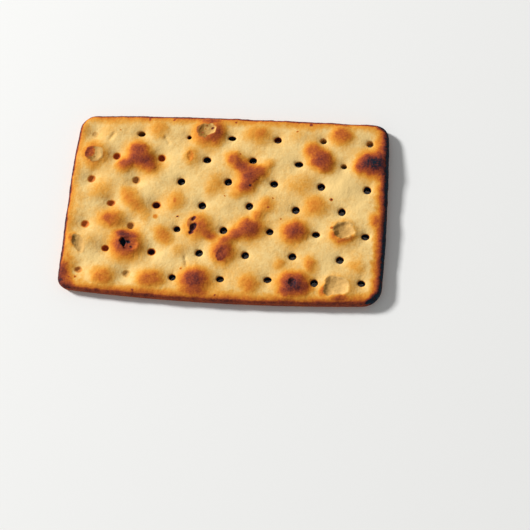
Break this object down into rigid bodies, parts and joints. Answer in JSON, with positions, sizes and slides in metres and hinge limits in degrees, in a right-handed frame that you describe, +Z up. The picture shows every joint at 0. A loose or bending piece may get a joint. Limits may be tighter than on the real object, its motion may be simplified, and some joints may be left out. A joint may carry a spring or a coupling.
{
  "type": "water cracker",
  "caption": "Rectangular water cracker: a thin, crisp baked biscuit with rounded corners, rows of docker holes and browned, partly burst blisters.",
  "frame": {"origin": "middle of the cracker's box on its flat underside", "axes": "+X along the long side, +Y across the cracker towards its less bowed long side, +Z up out of the blistered upper face"},
  "size_m": [0.0902, 0.0542, 0.0051],
  "materials": {
    "baked_crust": "matt, dry baked dough, pale gold, browned to dark brown on blisters and edges"
  },
  "bodies": {
    "root": {"cracker": "baked_crust"}
  },
  "joints": []
}
